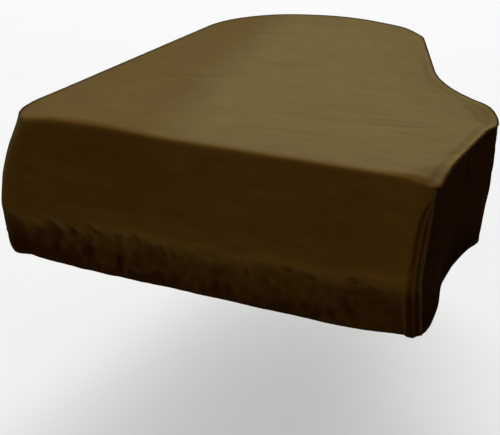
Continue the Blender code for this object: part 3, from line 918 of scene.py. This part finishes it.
class Nodes:
    """A material's node tree, with short ways to add to it and join it up."""

    def __init__(self, name):
        self.finish = bpy.data.materials.new(name)
        self.finish.use_nodes = True
        self.tree = self.finish.node_tree
        self.shader = self.tree.nodes["Principled BSDF"]

    def add(self, kind, inputs=(), **settings):
        node = self.tree.nodes.new("ShaderNode" + kind)
        for key, value in settings.items():
            setattr(node, key, value)
        for key, value in dict(inputs).items():
            self.put(node.inputs[key], value)
        return node

    def put(self, socket, value):
        if isinstance(value, bpy.types.NodeSocket):
            self.tree.links.new(value, socket)
        else:
            socket.default_value = value

    def attribute(self, name):
        return self.add("Attribute", attribute_name=name).outputs["Fac"]

    def maths(self, operation, *values):
        node = self.add("Math", operation=operation)
        for socket, value in zip(node.inputs, values):
            self.put(socket, value)
        return node.outputs[0]

    def stretched(self, coordinates, scale, turn=0.0):
        node = self.add("Mapping", {"Vector": coordinates, "Scale": scale, "Rotation": (0, 0, turn)})
        return node.outputs[0]

    def noise(self, coordinates, scale, detail, roughness):
        inputs = {"Vector": coordinates, "Scale": scale, "Detail": detail, "Roughness": roughness}
        return self.add("TexNoise", inputs).outputs["Fac"]

    def waves(self, coordinates, scale, direction):
        inputs = {"Vector": coordinates, "Scale": scale, "Distortion": 0.6, "Detail": 1.0}
        inputs["Detail Scale"] = 2.0
        return self.add("TexWave", inputs, bands_direction=direction).outputs["Fac"]

    def mixed(self, share, first, second):
        node = self.add("Mix", data_type="RGBA")
        self.put(node.inputs[0], share)
        self.put(node.inputs[6], first)
        self.put(node.inputs[7], second)
        return node.outputs[2]

    def ranged(self, value, low, high):
        inputs = {"Value": value, "From Min": 0.3, "From Max": 0.7, "To Min": low, "To Max": high}
        return self.add("MapRange", inputs).outputs[0]


def shaded(colour, shares):
    """The colour, times a share for each of red, green and blue."""
    return tuple(c * share for c, share in zip(colour, shares)) + (1.0,)


def twill_finish(name, deep, light, sheen):
    """Brushed cotton twill: diagonal ribs, slubs along the weft and uneven dye. It is lighter where it has
    faded on top, partly painted light, and where it is worn, partly painted highlights; and darker where
    its lower part has been handled and in hollows, partly painted shade."""
    n = Nodes(name)
    flat = n.add("UVMap", uv_map="flat_pattern").outputs[0]
    ribs = n.waves(n.stretched(flat, (1.0, 1.0, 1.0), 0.9), 190.0, "X")
    weft = n.waves(flat, 260.0, "Y")
    slubs = n.noise(n.stretched(flat, (9.0, 170.0, 1.0)), 1.0, 3.0, 0.6)
    streaks = n.noise(n.stretched(flat, (4.0, 36.0, 1.0)), 1.0, 4.0, 0.62)
    dye = n.noise(n.stretched(flat, (6.0, 7.0, 1.0)), 1.0, 5.0, 0.66)
    tone = n.maths("ADD", n.maths("MULTIPLY", slubs, 0.25), n.maths("MULTIPLY", streaks, 0.35))
    tone = n.maths("ADD", tone, n.maths("MULTIPLY", dye, 0.40))
    tone = n.ranged(tone, 0.0, 1.0)
    plain_colour = n.mixed(tone, deep, light)
    # Painted light: the top's colour is made lighter, partly for fading and partly for the strong light on
    # it
    faded = n.mixed(tone, shaded(deep, DEEP_FADED_AND_LIT), shaded(light, LIGHT_FADED_AND_LIT))
    colour = n.mixed(n.attribute("faded"), plain_colour, faded)
    # Painted shade, with soiling: the soiled and shaded mark darkens the colour
    handled_and_shaded = n.maths("MULTIPLY", n.attribute("soiled"), n.ranged(dye, 0.80, 1.05))
    colour = n.mixed(handled_and_shaded, colour, shaded(deep, SOILED_AND_SHADED))
    ribbed = n.mixed(n.maths("MULTIPLY", ribs, 0.22), colour, shaded(deep, BETWEEN_RIBS))
    # Painted highlights, with wear: the worn and lit mark lightens the colour
    frayed_and_lit = n.maths("MULTIPLY", n.attribute("worn"), n.ranged(slubs, 0.12, 0.42))
    colour = n.mixed(frayed_and_lit, ribbed, shaded(light, FRAYED_AND_LIT))
    n.put(n.shader.inputs["Base Color"], colour)
    n.put(n.shader.inputs["Roughness"], n.ranged(streaks, 0.66, 0.84))
    n.put(n.shader.inputs["Sheen Weight"], sheen)
    n.put(n.shader.inputs["Sheen Roughness"], 0.42)
    n.put(n.shader.inputs["Sheen Tint"], (0.92, 1.0, 0.42, 1.0))
    n.put(n.shader.inputs["Specular IOR Level"], 0.0)
    threads = n.maths("ADD", n.maths("MULTIPLY", ribs, 0.6), n.maths("MULTIPLY", weft, 0.3))
    threads = n.maths("ADD", threads, n.maths("MULTIPLY", slubs, 0.5))
    fine = n.add("Bump", {"Height": threads, "Strength": 0.35, "Distance": 0.0004})
    crumple = n.noise(n.stretched(flat, (14.0, 34.0, 1.0)), 1.0, 3.0, 0.55)
    soft = n.add("Bump", {"Height": crumple, "Strength": 0.5, "Distance": 0.0014})
    n.put(soft.inputs["Normal"], fine.outputs[0])
    n.put(n.shader.inputs["Normal"], soft.outputs[0])
    return n.finish


def piping_finish():
    """Bias-cut twill drawn tight over a cord, rubbed lighter in patches."""
    n = Nodes("piping twill")
    place = n.add("TexCoord").outputs["Object"]
    ribs = n.waves(n.stretched(place, (1.0, 1.0, 1.0), 0.8), 240.0, "DIAGONAL")
    lightened = n.noise(place, 38.0, 3.0, 0.6)
    colour = n.mixed(n.ranged(lightened, 0.0, 1.0), PIPING_DEEP, PIPING_LIGHT)
    colour = n.mixed(n.maths("MULTIPLY", ribs, 0.25), colour, PIPING_RIB)
    n.put(n.shader.inputs["Base Color"], colour)
    n.put(n.shader.inputs["Roughness"], n.ranged(lightened, 0.60, 0.78))
    n.put(n.shader.inputs["Sheen Weight"], 0.004)
    n.put(n.shader.inputs["Sheen Roughness"], 0.4)
    n.put(n.shader.inputs["Specular IOR Level"], 0.0)
    puckers = n.add("Bump", {"Height": ribs, "Strength": 0.4, "Distance": 0.0005})
    n.put(n.shader.inputs["Normal"], puckers.outputs[0])
    return n.finish


def thread_finish():
    """Sewing thread a shade lighter than the cloth."""
    n = Nodes("sewing thread")
    place = n.add("TexCoord").outputs["Object"]
    uneven = n.noise(place, 220.0, 2.0, 0.5)
    n.put(n.shader.inputs["Base Color"], n.mixed(uneven, THREAD_DEEP, THREAD_LIGHT))
    n.put(n.shader.inputs["Roughness"], n.ranged(uneven, 0.45, 0.65))
    n.put(n.shader.inputs["Specular IOR Level"], 0.15)
    return n.finish


def seam_points(place, steps):
    """Down a front seam beside the skirt, from just below the top edge to the hem."""
    drop = skirt_drop(place)
    return [hanging(skirt_surface, place, drop * n / steps, 0.0) for n in range(1, steps + 1)]


def make_piping(finish):
    """The covered cord: up the right front seam, round the top edge and down the left front seam."""
    steps = round(SKIRT_ROUTE.length / PIPING_STEP)
    edge = []
    for n in range(steps + 1):
        distance = SKIRT_ROUTE.length * n / steps
        edge.append(hanging(skirt_surface, distance, 0.0, 0.0) + Vector((0, 0, MIDDLE_OF_CLOTH)))
    right = seam_points(0.0, RIGHT_SEAM_STEPS)
    left = seam_points(SKIRT_ROUTE.length, LEFT_SEAM_STEPS)
    curve = bpy.data.curves.new("piping_cord", "CURVE")
    curve.dimensions = "3D"
    curve.bevel_depth = PIPING_RADIUS
    curve.bevel_resolution = 4
    curve.use_fill_caps = True
    route = [placed(point) for point in right[::-1] + edge + left]
    line = curve.splines.new("POLY")
    line.points.add(len(route) - 1)
    for n, (spot, point) in enumerate(zip(line.points, route)):
        spot.co = (*point, 1.0)
        spot.radius = 1.0 + PIPING_UNEVEN * ruffle(n * PIPING_STEP, 0.0, 0.03, 1.0, 5.5)
    curve.materials.append(finish)
    piece = bpy.data.objects.new("piping_cord", curve)
    bpy.context.scene.collection.objects.link(piece)
    return piece


def hem_stitches(name, surface, drop_at, length, finish):
    """A row of small stitches along a hem, each a slim bead lying in the cloth's trough."""
    bm = bmesh.new()
    count = int(length / STITCH_PITCH)

    def spot(n):
        distance = length * n / count
        return placed(hanging(surface, distance, drop_at(distance) - HEM_STITCH_HEIGHT, CLOTH * 0.6))

    for n in range(1, count):
        here, ahead = spot(n), spot(n + 0.1)
        bead = bmesh.ops.create_icosphere(bm, subdivisions=1, radius=0.5)["verts"]
        bmesh.ops.scale(bm, vec=STITCH_SIZE, verts=bead)
        turn = (ahead - here).to_track_quat("X", "Z").to_matrix()
        bmesh.ops.rotate(bm, cent=(0, 0, 0), matrix=turn, verts=bead)
        bmesh.ops.translate(bm, vec=here, verts=bead)
    return piece_from(name, bm, finish)


def make_camera():
    camera = bpy.data.cameras.new("camera")
    camera.lens = CAMERA_LENS
    camera.sensor_width = 36.0
    viewer = bpy.data.objects.new("camera", camera)
    viewer.location = CAMERA_PLACE
    viewer.rotation_euler = [math.radians(angle) for angle in CAMERA_TURN]
    bpy.context.scene.collection.objects.link(viewer)
    bpy.context.scene.camera = viewer


def make_floor():
    n = Nodes("pale floor")
    place = n.add("TexCoord").outputs["Object"]
    mottle = n.noise(place, 1.5, 3.0, 0.5)
    n.put(n.shader.inputs["Base Color"], n.mixed(mottle, FLOOR_DEEP, FLOOR_LIGHT))
    n.put(n.shader.inputs["Emission Color"], (1.0, 1.0, 1.0, 1.0))
    n.put(n.shader.inputs["Emission Strength"], 0.42)
    n.put(n.shader.inputs["Roughness"], 0.9)
    n.put(n.shader.inputs["Specular IOR Level"], 0.1)
    bm = bmesh.new()
    bmesh.ops.create_grid(bm, x_segments=1, y_segments=1, size=FLOOR_SIZE / 2)
    bmesh.ops.translate(bm, vec=(0, 0, FLOOR_LEVEL), verts=bm.verts)
    floor = piece_from("floor", bm, n.finish)


def make_sun(name, strength, place, spread):
    """A soft sun that shines from a place toward the cover. Its spread is in degrees."""
    lamp = bpy.data.lights.new(name, "SUN")
    lamp.energy = strength
    lamp.angle = math.radians(spread)
    holder = bpy.data.objects.new(name, lamp)
    holder.location = place
    holder.rotation_euler = (-Vector(place)).to_track_quat("-Z", "Y").to_euler()
    holder.visible_camera = False
    bpy.context.scene.collection.objects.link(holder)


def make_studio():
    world = bpy.data.worlds.new("studio")
    bpy.context.scene.world = world
    world.use_nodes = True
    shade = world.node_tree.nodes["Background"]
    shade.inputs["Color"].default_value = (1.0, 1.0, 1.0, 1.0)
    shade.inputs["Strength"].default_value = 0.5
    make_sun("back light", 7.6, (-1.3, 3.1, 2.8), 44)
    make_sun("front fill", 0.8, (-0.7, -4.0, 1.8), 40)
    view = bpy.context.scene.view_settings
    view.view_transform = "Standard"
    view.look = "None"


def main():
    make_camera()
    make_studio()
    make_floor()

    cover_twill = twill_finish("cover twill", COVER_DEEP, COVER_LIGHT, 0.03)
    # The skirt's twill takes colours darkened by painted shade
    skirt_twill_shaded = twill_finish("skirt twill", SKIRT_SHADED_DEEP, SKIRT_SHADED_LIGHT, 0.002)
    thread = thread_finish()

    front, side = FRONT_ROUTE.length, SKIRT_ROUTE.length
    across, along = graded(front, ACROSS_STEPS), graded(side, ALONG_STEPS)
    cover = sheet_of_cloth("cover_cloth", across, cover_column, front, marks_on_cover, cover_twill)
    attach(cover, "root")
    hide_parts("top_and_front")
    skirt = sheet_of_cloth("skirt_cloth", along, skirt_column, side, marks_on_skirt, skirt_twill_shaded)
    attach(skirt, "root")
    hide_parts("side_skirt")
    piping = make_piping(piping_finish())
    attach(piping, "root")
    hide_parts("piping")
    front_row = hem_stitches("front_hem_stitches", apron_surface, apron_drop, front, thread)
    side_row = hem_stitches("side_hem_stitches", skirt_surface, skirt_drop, side, thread)
    for row, slot in ((front_row, "cover_cloth"), (side_row, "skirt_cloth")):
        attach(row, "root")


main()
